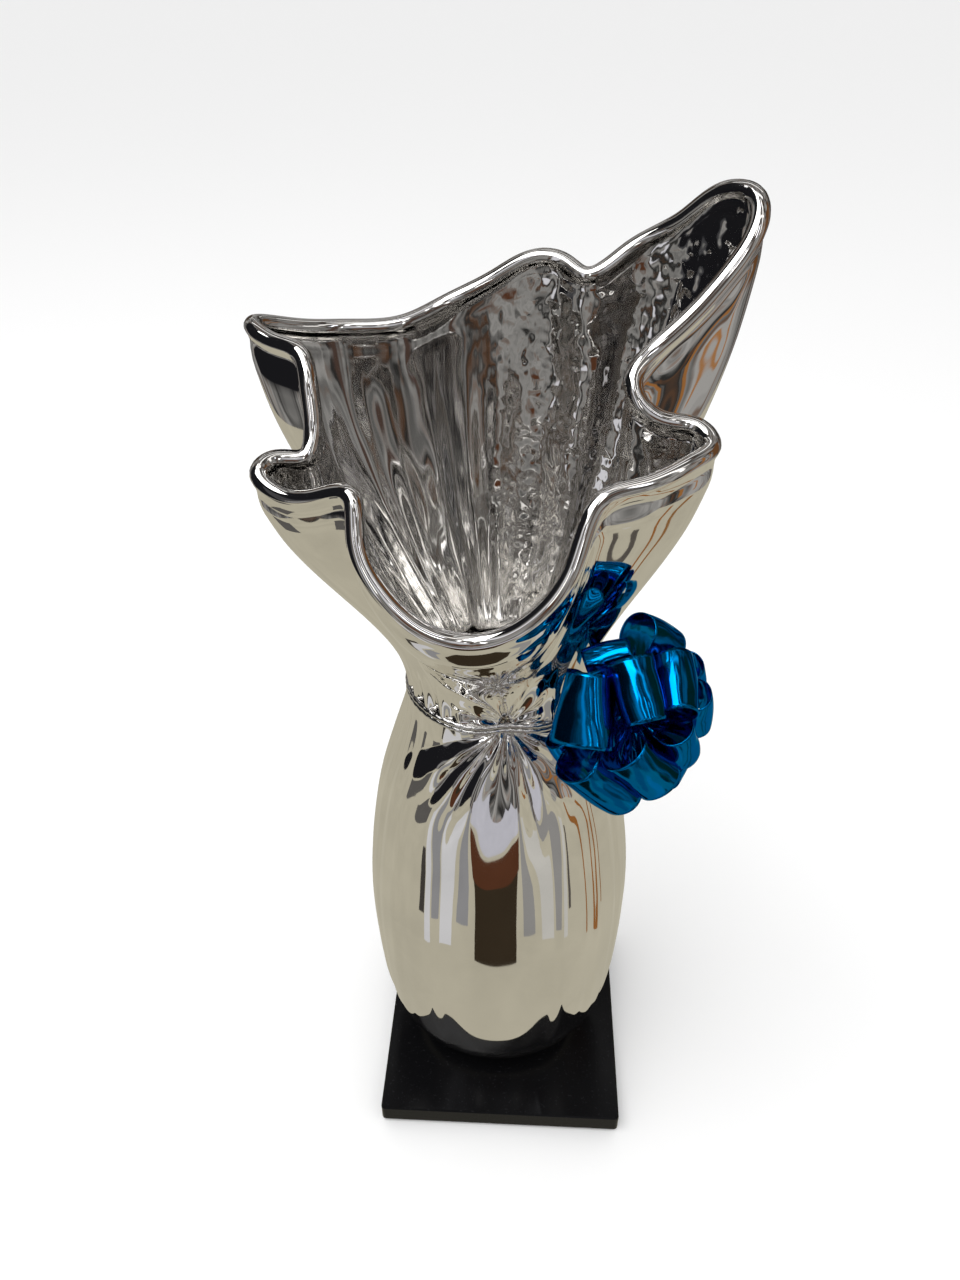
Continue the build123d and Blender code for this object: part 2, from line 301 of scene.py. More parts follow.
def tube_grid(path, radius, sides, closed):
    """Grid of points round a path: a circle of that radius in the plane across the path.

    Radius is a number or an array of (points of the path, sides). The circle's first
    direction is kept from twisting by taking it from the path's mean plane.
    """
    if closed:
        along = unit(np.roll(path, -1, 0) - np.roll(path, 1, 0))
    else:
        along = unit(np.gradient(path, axis=0))
    spread = np.linalg.svd(path - path.mean(0))[2][2]
    side = unit(np.cross(along, spread))
    other = np.cross(along, side)
    angle = np.linspace(0, 2 * np.pi, sides, endpoint=False)
    radius = np.broadcast_to(radius, (len(path), sides))
    return (path[:, None] + radius[..., None] * (np.cos(angle)[None, :, None] * side[:, None]
                                                 + np.sin(angle)[None, :, None] * other[:, None]))


# ------------------------------------------------------------------ vessel
BEARINGS = np.radians(FIRST_BEARING + 360 * np.arange(COLUMNS) / COLUMNS)
RIM = closed_spline(RIM_POINTS, COLUMNS)
PINCH = np.array([3.1, -25.3, WAIST_Z])  # where the gathers meet at the front, from the axis


def belly_outline(height):
    """Oval of the belly at a height over the foot, with shallow swells, but a plain front.

    The half axes run straight between the profile's heights; the swells fade out as a sine
    towards the foot and the waist.
    """
    heights, widths, depths = np.array(BELLY_PROFILE, float).T
    swell = PLEAT_SWELL * math.sin(math.pi * height / heights[-1])
    wave = 0.7 * np.cos(PLEAT_COUNT * BEARINGS) + 0.3 * np.cos(2 * PLEAT_COUNT * BEARINGS)
    wave = wave * smooth_step(0.15, 0.40, 1 - np.cos(BEARINGS))
    return np.stack([
        (np.interp(height, heights, widths) + swell * wave) * np.sin(BEARINGS),
        -(np.interp(height, heights, depths) + swell * wave) * np.cos(BEARINGS),
        np.full(COLUMNS, FOOT_Z + height),
    ], 1)


def mouth_row(share, inset, wall):
    """Row round the mouth at this share of the height up to the rolled edge.

    The waist's oval opens towards the rim's outline by the sine of a quarter turn of the
    rise, to a power that falls from the front to the back, and the row is then shifted
    inwards by the inset.
    """
    waist = belly_outline(BELLY_PROFILE[-1][0])
    rim = shifted(RIM, wall / 2)
    rise = share * (RIM[:, 2] - BEAD_BLEND)
    power = FLARE_POWER + FLARE_POWER_PER_Y * RIM[:, 1]
    opening = np.sin(np.pi / 2 * rise / RIM[:, 2]) ** power
    row = waist + (rim - waist) * opening[:, None]
    row[:, 2] = WAIST_Z + rise
    return shifted(row, -inset)


def bead_row(angle, radius):
    """Row along the rolled edge at this angle round its section, from the outside."""
    along = unit(np.roll(RIM, -NORMAL_REACH, 0) - np.roll(RIM, NORMAL_REACH, 0))
    sideways = unit(np.stack([along[:, 1], -along[:, 0], np.zeros(COLUMNS)], 1))
    upwards = np.cross(sideways, along)
    reach = sideways * math.cos(angle) + upwards * math.sin(angle)
    return RIM + [0, 0, WAIST_Z] + reach * radius


def lobes(bearing):
    """0 at each crease and 1 over each lobe: a smooth step of an absolute sine."""
    marks = np.array(CREASES + [CREASES[0] + 360], float)
    turned = (np.degrees(bearing) - marks[0]) % 360 + marks[0]
    wave = np.abs(np.sin(np.pi * np.interp(turned, marks, np.arange(len(marks)))))
    return smooth_step(0, 0.95, wave)


def gathers(points):
    """Ridges that fan out from the front pinch, -1 to 1, and how strong they are there.

    The ridges are the absolute cosine of the direction round the pinch, seen from the front,
    to a power. Away from the pinch that direction is bent so that the ridges turn down, and
    close to it finer ridges join them. Their strength is full at 6 mm from the pinch and
    gone at 58 mm below it and 24 mm above it.
    """
    across = points[..., 0] - PINCH[0]
    up = points[..., 2] - PINCH[2]
    away = np.hypot(across, 0.9 * up)
    turn = np.arctan2(up, across)
    turn = turn + 0.55 * np.cos(turn) * away / 40
    wander = 0.7 * np.sin(3 * turn + 1) + 0.45 * np.sin(5 * turn)
    coarse = 1.7 * np.abs(np.cos(6.5 * turn + wander)) ** 1.5 - 0.85
    fine = np.cos(20 * turn + 2 * wander)
    near = 1 - smooth_step(5, 17, away)
    ridge = coarse * (1 - 0.5 * near) + fine * 0.5 * near
    reach = np.where(up < 0, 58, 24)
    strength = smooth_step(1.0, 6, away) * (1 - smooth_step(0.1 * reach, reach, away))
    return ridge, strength * (points[..., 1] < PINCH[1] + 26)


def waist_dip(points):
    """Depth in millimetres of the hollow round the front pinch."""
    away = np.hypot(points[..., 0] - PINCH[0], points[..., 2] - PINCH[2])
    return 3.0 * np.exp(-(away / 7.5) ** 2) * (points[..., 1] < 0)


def flutes(bearing, level):
    """Long uneven flutes that run from the waist up the inside of the mouth."""
    wave = (0.55 * np.cos(27 * bearing + 1.3 * np.sin(3 * bearing))
            + 0.20 * np.cos(43 * bearing + 2.1 * np.sin(5 * bearing + 1))
            + 0.45 * np.cos(16 * bearing + 0.9))
    return wave * (1 + 0.5 * np.cos(5 * bearing + 14 * level))


def vessel_grid(settings):
    """Grid of the vessel's whole skin, with what the glaze needs to know at each point.

    Rows go up the outside from the foot, over the rolled edge and down the inside to the
    floor, through a natural spline across the rows; flat rows close the foot round the
    screw hole. Lobes, gathers and flutes then lift each point along its normal.
    """
    wall = settings.wall / MM
    bead = settings.bead / MM / 2
    heights = [height for height, _, _ in BELLY_PROFILE]
    inner = [height for height in heights if height > FLOOR_THICKNESS + 2]
    shares = [(step + 1) / MOUTH_ROWS for step in range(MOUTH_ROWS)]
    angles = np.radians(BEAD_ANGLES)
    rows, level, side, steps = [], [], [], []

    def add_row(row, row_level, row_side, row_steps):
        rows.append(row)
        level.append(row_level)
        side.append(row_side)
        steps.append(row_steps)

    for height in heights:
        add_row(belly_outline(height), height / heights[-1] - 1, 0.0,
                12 if height > 150 else 8 if height > 130 else 4)
    for share in shares:
        add_row(mouth_row(share, 0, wall), share, 0.0, 8 if share < 0.2 else 3)
    for angle in angles:
        add_row(bead_row(angle, bead), 1.1, float(angle > math.pi / 2), 2)
    for share in reversed(shares):
        add_row(mouth_row(share, wall, wall), share, 1.0, 3)
    for height in reversed(inner):
        add_row(shifted(belly_outline(height), -wall), height / heights[-1] - 1, 1.0, 1)
    add_row(shifted(belly_outline(FLOOR_THICKNESS), -wall), -0.97, 1.0, 1)

    rows = np.stack(rows)
    gap = np.linalg.norm(np.diff(rows, axis=0), axis=2).mean(1)
    knots = np.concatenate([[0], np.cumsum(gap)])
    at = np.concatenate([np.linspace(low, high, count, endpoint=False)
                         for low, high, count in zip(knots, knots[1:], steps)] + [knots[-1:]])
    grid = np.tensordot(spline_weights(knots, at), rows, 1)
    level = np.interp(at, knots, level)[:, None]
    side = np.interp(at, knots, side)[:, None]

    normals = grid_normals(grid)
    bearing = BEARINGS[None, :]
    outside = (1 - side) * (level < 1.05)
    belly = smooth_step(-1.0, -0.8, level) * (1 - smooth_step(-0.30, -0.04, level))
    lift = settings.lobe_depth / MM * (lobes(bearing) - 0.6) * belly * outside
    ridge, strength = gathers(grid)
    lift = lift + settings.gather_depth / MM * ridge * strength * outside
    lift = lift - waist_dip(grid) * outside * smooth_step(0, 0.2, 1.05 - level)
    gather_ring = np.exp(-(np.minimum(np.abs(level), 1) / 0.16) ** 2)
    lift = lift + 0.7 * np.cos(30 * bearing + np.sin(4 * bearing)) * gather_ring * outside * (
        1 - strength)
    mouth = smooth_step(0.0, 0.15, level) * (1 - smooth_step(0.72, 0.97, level))
    lift = lift + settings.flute_depth / MM * flutes(bearing, level) * mouth * side
    grid = grid + normals * lift[..., None]

    hole = np.stack([SCREW_HOLE_RADIUS * np.sin(BEARINGS), -SCREW_HOLE_RADIUS * np.cos(BEARINGS),
                     np.zeros(COLUMNS)], 1)
    sole = grid[0] * [1, 1, 0]
    bottom = [(hole + [0, 0, FOOT_Z])[None], (hole * 0.5 + sole * 0.5 + [0, 0, FOOT_Z])[None],
              (sole * 0.97 + hole * 0.03 + [0, 0, FOOT_Z])[None]]
    floor_z = FOOT_Z + FLOOR_THICKNESS
    floor = grid[-1] * [1, 1, 0]
    top = [(hole * 0.4 + floor * 0.6 + [0, 0, floor_z])[None], (hole + [0, 0, floor_z])[None]]
    extra_low, extra_high = len(bottom), len(top)
    grid = np.concatenate(bottom + [grid] + top) + AXIS
    level = np.pad(level, ((extra_low, extra_high), (0, 0)), mode="edge")
    side = np.pad(side, ((extra_low, extra_high), (0, 0)), mode="edge")

    right_side = smooth_step(0.1, 0.5, np.sin(bearing - 0.35))
    hammer = side * right_side * smooth_step(0.02, 0.2, level) * (level < 1.05)
    spread = np.broadcast_to(level, grid.shape[:2])
    flow = np.stack([np.broadcast_to(np.sin(bearing), spread.shape),
                     np.broadcast_to(np.cos(bearing), spread.shape), spread], -1)
    return grid, {"inside": np.broadcast_to(side, spread.shape), "hammer": hammer, "flow": flow}


# ------------------------------------------------------------------ cord and bow
def waist_oval(extra, rise, count):
    """Ring round the waist, that far outside it, and drawn in at the front pinch."""
    angle = np.linspace(0, 2 * np.pi, count, endpoint=False)
    _, half_width, half_depth = BELLY_PROFILE[-1]
    ring = np.stack([(half_width + extra) * np.sin(angle), -(half_depth + extra) * np.cos(angle),
                     np.full(count, WAIST_Z + rise)], 1)
    inwards = unit(-ring * [1, 1, 0])
    return ring + inwards * waist_dip(ring)[:, None] * 0.85 + AXIS


def bow_places():
    """Bow's axis, its centre and its knot's centre, and the frame that its loops turn in."""
    angle = math.radians(BOW_BEARING)
    axis = np.array([math.cos(angle), math.sin(angle), 0.0])
    _, half_width, half_depth = BELLY_PROFILE[-1]
    radius = 1 / math.hypot(axis[0] / half_width, axis[1] / half_depth)
    waist = AXIS + [0, 0, WAIST_Z]
    knot = waist + axis * (radius + KNOT_RADIUS + KNOT_CLEARANCE)
    centre = waist + axis * (radius + BOW_REACH) + [0, 0, BOW_RISE]
    up = np.array([0.0, 0.0, 1.0])
    return axis, centre, knot, np.stack([up, np.cross(axis, up), axis], 1)


def turn_about(letter, degrees):
    """Rotation matrix about one axis."""
    return np.array(Matrix.Rotation(math.radians(degrees), 3, letter))


def loop_grid(sizes, core_radius, number):
    """One ribbon loop as a grid: along the ribbon by across it.

    Along, the ribbon runs out from the core and back as a drop: the distance out is half of
    one minus a cosine, and the opening is the sine times that. Across, it widens from a
    crumpled root to its full width at about two thirds of its length.
    """
    tilt, turn, roll, length, opening, width, flare = sizes
    around = np.linspace(0, 2 * np.pi, 97)[:, None]
    across = np.linspace(-1, 1, 17)[None, :]
    out = (1 - np.cos(around)) / 2
    root = core_radius - 1.5
    spread = 0.14 + 0.86 * smooth_step(0.02, 0.66, out)
    crumple = (1 - smooth_step(0.1, 0.75, out)) * np.sin(
        (5 + number % 3) * np.pi * across / 2 + number)
    bulge = np.sin(around) * out / 0.65 * (1 + flare * across)
    z = root + (length - root) * out - 0.5 * across ** 2 * out
    x = opening / 2 * bulge + 0.9 * crumple
    x = x + 0.25 * out * np.sin(3 * across + 2 * around + number)
    y = width / 2 * across * spread + 0.25 * out * np.sin(2 * around + number)
    x, y, z = np.broadcast_arrays(x, y, z)
    _, centre, _, axes = bow_places()
    turned = axes @ turn_about("Z", turn) @ turn_about("Y", tilt) @ turn_about("Z", roll)
    return np.stack([x, y, z], -1) @ turned.T + centre


# ------------------------------------------------------------------ shader helpers
def new_shader(name):
    """Empty material with one Principled BSDF; returns the material, its tree and shader."""
    material = bpy.data.materials.new(name)
    material.use_nodes = True
    tree = material.node_tree
    tree.nodes.clear()
    output = tree.nodes.new("ShaderNodeOutputMaterial")
    shader = tree.nodes.new("ShaderNodeBsdfPrincipled")
    tree.links.new(shader.outputs["BSDF"], output.inputs["Surface"])
    return material, tree, shader


def add_node(tree, kind, inputs=None, **options):
    """Node with its options set; each input is a value or another node's output."""
    node = tree.nodes.new(kind)
    for key, value in options.items():
        setattr(node, key, value)
    for key, value in (inputs or {}).items():
        if isinstance(value, bpy.types.NodeSocket):
            tree.links.new(value, node.inputs[key])
        else:
            node.inputs[key].default_value = value
    return node


def calc(tree, operation, *values):
    """Math node's output for these values or sockets."""
    return add_node(tree, "ShaderNodeMath", dict(enumerate(values)),
                    operation=operation).outputs[0]


def scaled(tree, value, low, high, to_low=0.0, to_high=1.0):
    """Value mapped from low..high to to_low..to_high, and held there."""
    return add_node(tree, "ShaderNodeMapRange", {
        "Value": value, "From Min": low, "From Max": high, "To Min": to_low, "To Max": to_high,
    }).outputs["Result"]


def mixed(tree, share, first, second):
    """Colour mixed from two colours or sockets."""
    node = add_node(tree, "ShaderNodeMix", data_type="RGBA")
    for socket, value in ((node.inputs[0], share), (node.inputs[6], first),
                          (node.inputs[7], second)):
        if isinstance(value, bpy.types.NodeSocket):
            tree.links.new(value, socket)
        else:
            socket.default_value = value
    return node.outputs[2]


def rgba(colour, factor=1.0):
    """Colour setting as four numbers, made darker or lighter by the factor."""
    return (*[min(1.0, channel * factor) for channel in colour], 1.0)


def noise(tree, vector, scale, detail=2.0, roughness=0.5, distortion=0.0):
    """Noise value at a vector."""
    return add_node(tree, "ShaderNodeTexNoise", {
        "Vector": vector, "Scale": scale, "Detail": detail, "Roughness": roughness,
        "Distortion": distortion}).outputs["Fac"]


def object_place(tree):
    """Object coordinates."""
    return add_node(tree, "ShaderNodeTexCoord").outputs["Object"]


def attribute(tree, name, kind="Fac"):
    """One of the mesh's own attributes."""
    return add_node(tree, "ShaderNodeAttribute", attribute_name=name).outputs[kind]


def smudge_group():
    """Shared node group: faint handling smudges, as a mask for colour and roughness."""
    name = "handling_smudges"
    if name in bpy.data.node_groups:
        return bpy.data.node_groups[name]
    tree = bpy.data.node_groups.new(name, "ShaderNodeTree")
    tree.interface.new_socket("Vector", in_out="INPUT", socket_type="NodeSocketVector")
    size = tree.interface.new_socket("Scale", in_out="INPUT", socket_type="NodeSocketFloat")
    size.default_value = 30.0
    tree.interface.new_socket("Mask", in_out="OUTPUT", socket_type="NodeSocketFloat")
    entry = tree.nodes.new("NodeGroupInput")
    leave = tree.nodes.new("NodeGroupOutput")
    broad = noise(tree, entry.outputs["Vector"], 1.0, 4, 0.6, 0.8)
    tree.links.new(entry.outputs["Scale"], broad.node.inputs["Scale"])
    fine = noise(tree, entry.outputs["Vector"], 900.0, 2, 0.5)
    mask = calc(tree, "MULTIPLY", scaled(tree, broad, 0.45, 0.75),
                scaled(tree, fine, 0.3, 0.7, 0.6, 1.0))
    tree.links.new(mask, leave.inputs["Mask"])
    return tree


def smudges(tree, vector, scale):
    """Mask of the shared smudges."""
    node = add_node(tree, "ShaderNodeGroup", node_tree=smudge_group())
    tree.links.new(vector, node.inputs["Vector"])
    node.inputs["Scale"].default_value = scale
    return node.outputs["Mask"]


def set_finish(tree, shader, colour, roughness, metallic=0.0):
    """Base colour and roughness from sockets or plain values, and how metallic it is."""
    for name, value in (("Base Color", colour), ("Roughness", roughness)):
        if isinstance(value, bpy.types.NodeSocket):
            tree.links.new(value, shader.inputs[name])
        else:
            shader.inputs[name].default_value = value
    shader.inputs["Metallic"].default_value = metallic


def raise_surface(tree, shader, height, distance, strength=1.0):
    """Bump of that height feeding the shader's normal; the distance is in metres."""
    bump = add_node(tree, "ShaderNodeBump",
                    {"Height": height, "Distance": distance, "Strength": strength})
    tree.links.new(bump.outputs["Normal"], shader.inputs["Normal"])


# ------------------------------------------------------------------ materials
def silver_glaze(colour):
    """Mirror glaze: smooth outside, faintly streaked inside and pebbled on its right side; its
    colour is darker inside the mouth as painted shade.
    """
    material, tree, shader = new_shader("silver_mirror_glaze")
    place = object_place(tree)
    mask = smudges(tree, place, 40.0)
    inside = attribute(tree, "inside")
    # Painted shade: the glaze colour is 20 % darker inside the mouth, where the vessel shades
    # itself.
    painted_shade_inside = mixed(tree, inside, rgba(colour), rgba(colour, 0.80))
    hammer = attribute(tree, "hammer")
    rough = calc(tree, "ADD", scaled(tree, mask, 0, 1, 0.035, 0.065),
                 calc(tree, "MULTIPLY", inside, 0.03))
    set_finish(tree, shader,
               mixed(tree, calc(tree, "MULTIPLY", mask, 0.07), painted_shade_inside, (0, 0, 0, 1)), rough, 1.0)
    pebble = noise(tree, place, 280.0, 0.5, 0.4)
    cells = add_node(tree, "ShaderNodeTexVoronoi",
                     {"Vector": place, "Scale": 260.0, "Smoothness": 0.9},
                     feature="SMOOTH_F1").outputs["Distance"]
    flow = attribute(tree, "flow", "Vector")
    stretched = add_node(tree, "ShaderNodeMapping",
                         {"Vector": flow, "Scale": (22.0, 22.0, 1.2)}).outputs["Vector"]
    streaks = noise(tree, stretched, 1.0, 1.5, 0.5)
    pebbles = calc(tree, "ADD", calc(tree, "MULTIPLY", pebble, 0.7),
                   calc(tree, "MULTIPLY", cells, 0.9))
    pebbles = calc(tree, "MULTIPLY", pebbles, hammer)
    streaks = calc(tree, "MULTIPLY", streaks, calc(tree, "MULTIPLY", inside, 0.15))
    ripple = calc(tree, "MULTIPLY", noise(tree, place, 70.0, 1, 0.4), 0.18)
    height = calc(tree, "ADD", calc(tree, "ADD", pebbles, streaks), ripple)
    raise_surface(tree, shader, height, 0.45 * MM)
    return material


def ribbon_foil(colour):
    """Smooth metallic foil ribbon with soft waves across it."""
    material, tree, shader = new_shader("blue_metallic_foil")
    place = object_place(tree)
    mask = smudges(tree, place, 120.0)
    lighter = (0.0, colour[1] * 1.15, colour[2] * 1.05, 1)
    set_finish(tree, shader, mixed(tree, mask, rgba(colour), lighter),
               scaled(tree, mask, 0, 1, 0.10, 0.17), 1.0)
    shader.inputs["Specular Tint"].default_value = (0.10, 0.50, 0.85, 1.0)
    raise_surface(tree, shader, noise(tree, place, 110.0, 1.0, 0.4), 0.6 * MM)
    return material


def metallic_thread(colour):
    """Thread wound with a metal film: fine twisted lines whose raised tops are painted lighter as
    a painted highlight.
    """
    material, tree, shader = new_shader("silver_thread_cord")
    place = object_place(tree)
    fine = noise(tree, place, 1500.0, 2)
    # Painted highlight: the colour follows the bump's noise, so the raised tops are lighter and
    # the dips darker.
    set_finish(tree, shader, mixed(tree, fine, rgba(colour, 0.8), rgba(colour)),
               scaled(tree, fine, 0.3, 0.7, 0.12, 0.25), 1.0)
    raise_surface(tree, shader, fine, 0.05 * MM)
    return material


def polished_black(colour):
    """Polished black stone slab with hairline scratches and a little dust."""
    material, tree, shader = new_shader("polished_black_slab")
    place = object_place(tree)
    mask = smudges(tree, place, 25.0)
    specks = scaled(tree, noise(tree, place, 1400.0, 0), 0.72, 0.80)
    set_finish(tree, shader, mixed(tree, specks, rgba(colour), rgba(colour, 3.0)),
               scaled(tree, mask, 0, 1, 0.16, 0.26))
    shader.inputs["Specular IOR Level"].default_value = 0.10
    hair = add_node(tree, "ShaderNodeMapping", {"Vector": place, "Scale": (900.0, 30.0, 30.0),
                                                "Rotation": (0, 0, 0.5)}).outputs["Vector"]
    raise_surface(tree, shader, noise(tree, hair, 1.0, 2), 0.01 * MM)
    return material


def pressed_felt(colour):
    """Pressed wool felt: short fibres in all directions."""
    material, tree, shader = new_shader("black_felt")
    place = object_place(tree)
    fibres = noise(tree, place, 1800.0, 4, 0.7, 2.0)
    set_finish(tree, shader, mixed(tree, fibres, rgba(colour, 0.6), rgba(colour, 1.8)), 0.95)
    shader.inputs["Sheen Weight"].default_value = 0.4
    raise_surface(tree, shader, fibres, 0.3 * MM)
    return material


def black_rubber():
    """Matt rubber of the two gaskets."""
    material, tree, shader = new_shader("black_rubber")
    place = object_place(tree)
    grain = noise(tree, place, 1200.0, 3)
    set_finish(tree, shader,
               mixed(tree, grain, (0.018, 0.018, 0.018, 1), (0.04, 0.04, 0.04, 1)),
               scaled(tree, grain, 0.3, 0.7, 0.6, 0.8))
    raise_surface(tree, shader, grain, 0.05 * MM)
    return material


def plated_steel(name, colour, across):
    """Zinc-plated steel with turning marks along one direction."""
    material, tree, shader = new_shader(name)
    place = object_place(tree)
    lines = add_node(tree, "ShaderNodeMapping",
                     {"Vector": place, "Scale": across}).outputs["Vector"]
    marks = noise(tree, lines, 1.0, 3)
    mask = smudges(tree, place, 150.0)
    set_finish(tree, shader, mixed(tree, mask, rgba(colour), rgba(colour, 0.8)),
               scaled(tree, marks, 0.3, 0.7, 0.22, 0.38), 1.0)
    raise_surface(tree, shader, marks, 0.02 * MM)
    return material


def dress(node, material):
    """Give a CAD node a material without touching its mesh."""
    node_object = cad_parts[node]
    for slot in node_object.material_slots:
        slot.material = material


# ------------------------------------------------------------------ operators
class SACKVASE_OT_base(bpy.types.Operator):
    """Finish the slab and the felt under it"""
    bl_idname = "sack_vase.base"
    bl_label = "Slab and felt"

    def execute(self, context):
        settings = context.scene.sack_vase_base
        dress("base_slab", polished_black(settings.black))
        dress("base_felt", pressed_felt(settings.felt))
        return {"FINISHED"}


class SACKVASE_OT_clamp(bpy.types.Operator):
    """Finish the screw, nut, washer and gaskets that clamp the vessel to the slab"""
    bl_idname = "sack_vase.clamp"
    bl_label = "Clamp through the foot"

    def execute(self, context):
        settings = context.scene.sack_vase_base
        rubber = black_rubber()
        dress("foot_gasket", rubber)
        dress("inner_gasket", rubber)
        flat = plated_steel("plated_steel_flat", settings.steel, (900.0, 60.0, 60.0))
        threaded = plated_steel("plated_steel_turned", settings.steel, (40.0, 40.0, 1600.0))
        dress("inner_washer", flat)
        dress("clamp_nut", threaded)
        dress("clamp_screw", threaded)
        return {"FINISHED"}


class SACKVASE_OT_vessel(bpy.types.Operator):
    """Make the mirror-glazed sack with its lobes, gathers, flutes and rolled edge"""
    bl_idname = "sack_vase.vessel"
    bl_label = "Vessel"

    def execute(self, context):
        settings = context.scene.sack_vase_vessel
        grid, attributes = vessel_grid(settings)
        rows, columns = grid.shape[:2]
        piece = mesh_piece("gathered_vessel", grid, grid_faces(rows, columns, True, True),
                           silver_glaze(settings.silver), attributes)
        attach(piece, "root")
        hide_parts("vessel")
        return {"FINISHED"}


class SACKVASE_OT_cord(bpy.types.Operator):
    """Wind the cord twice round the waist and knot it behind the bow"""
    bl_idname = "sack_vase.cord"
    bl_label = "Waist cord and knot"

    def execute(self, context):
        settings = context.scene.sack_vase_cord
        thread = metallic_thread(settings.silver)
        radius = settings.diameter / MM / 2
        points, faces, count, sides = [], [], 420, 14
        for turn in (-0.5, 0.5):
            path = waist_oval(radius - 0.3, turn * (2 * radius + 0.1), count)
            angle = np.linspace(0, 2 * np.pi, sides, endpoint=False)[None, :]
            twist = 2 * np.pi * 60 * np.arange(count)[:, None] / count
            thick = radius * (0.86 + 0.14 * np.abs(np.cos(angle - twist / 2)))
            grid = tube_grid(path, thick, sides, True)
            faces.append(grid_faces(count, sides, True, True) + len(points) * count * sides)
            points.append(grid.reshape(-1, 3))
        cord = mesh_piece("waist_cord_twisted", np.concatenate(points), np.concatenate(faces),
                          thread)
        _, _, knot, axes = bow_places()
        t = np.linspace(0, 2 * np.pi, 160, endpoint=False)
        trefoil = np.stack([np.sin(t) + 2 * np.sin(2 * t), np.cos(t) - 2 * np.cos(2 * t),
                            -1.3 * np.sin(3 * t)], 1) * 0.55
        path = trefoil @ axes.T + knot
        tied = mesh_piece("cord_knot_tied", tube_grid(path, radius * 0.95, 12, True),
                          grid_faces(160, 12, True, True), thread)
        for piece, node in ((cord, "waist_cord"), (tied, "cord_knot")):
            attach(piece, "root")
            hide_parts(node)
        return {"FINISHED"}


class SACKVASE_OT_bow(bpy.types.Operator):
    """Make the ribbon's sixteen loops, its gathered middle and the wire that binds it"""
    bl_idname = "sack_vase.bow"
    bl_label = "Ribbon bow"

    def execute(self, context):
        settings = context.scene.sack_vase_bow
        foil = ribbon_foil(settings.blue)
        core = settings.core_radius / MM
        for number, sizes in enumerate(BOW_LOOPS, start=1):
            grid = loop_grid(sizes, core, number)
            rows, columns = grid.shape[:2]
            along = np.linspace(0, 1, rows)[:, None] * np.ones(columns)
            across = np.ones((rows, 1)) * np.linspace(-1, 1, columns)
            ribbon = np.stack([along, across, np.full_like(along, number)], -1)
            piece = mesh_piece(f"ribbon_loop_{number:02d}", grid,
                               grid_faces(rows, columns, False, False), foil,
                               {"ribbon": ribbon})
            thick = piece.modifiers.new("foil", "SOLIDIFY")
            thick.thickness = settings.foil
            thick.offset = 0.0
            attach(piece, "root")
            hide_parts(f"bow_loop_{number:02d}")
        _, centre, knot, _ = bow_places()
        stem = unit(centre - knot)
        reach = np.linalg.norm(centre - knot)
        side = unit(np.cross(stem, [0, 0, 1.0]))
        other = np.cross(stem, side)
        share = np.linspace(0, 1, 64)[:, None]
        angle = np.linspace(0, 2 * np.pi, 96, endpoint=False)[None, :]
        far = (reach + core) * share
        ball = np.sqrt(np.clip(core ** 2 - (far - reach) ** 2, 0, None))
        waisted = 2.6 - 0.6 * np.exp(-((far - reach / 2) / 2.2) ** 2)
        stalk = waisted * smooth_step(0, 0.05, share)
        body = np.maximum(ball, np.where(far < reach, stalk, 0))
        pleat = 1 + 0.10 * np.cos(14 * angle + 2 * share * 6) + 0.05 * np.cos(29 * angle)
        body = body * pleat + 0.01
        grid = (knot + far[..., None] * stem
                + body[..., None] * (np.cos(angle)[..., None] * side
                                     + np.sin(angle)[..., None] * other))
        ribbon = np.stack(np.broadcast_arrays(share, angle / np.pi, share * 0), -1)
        middle = mesh_piece("bow_gathered_middle", grid, grid_faces(64, 96, False, True), foil,
                            {"ribbon": ribbon})
        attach(middle, "root")
        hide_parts("bow_core")
        turns, count = 4, 240
        wind = np.linspace(0, 2 * np.pi * turns, count)[:, None]
        start = knot + stem * (reach / 2)
        coil = (start + stem * (wind / (2 * np.pi) - turns / 2) * 0.7
                + 2.5 * (np.cos(wind) * side + np.sin(wind) * other))
        steel = plated_steel("binding_wire_bright", (0.62, 0.63, 0.65), (60.0, 60.0, 900.0))
        wire = mesh_piece("bow_binding_wire", tube_grid(coil, 0.35, 10, False),
                          grid_faces(count, 10, False, True), steel)
        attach(wire, "root")
        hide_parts("bow_binding")
        return {"FINISHED"}


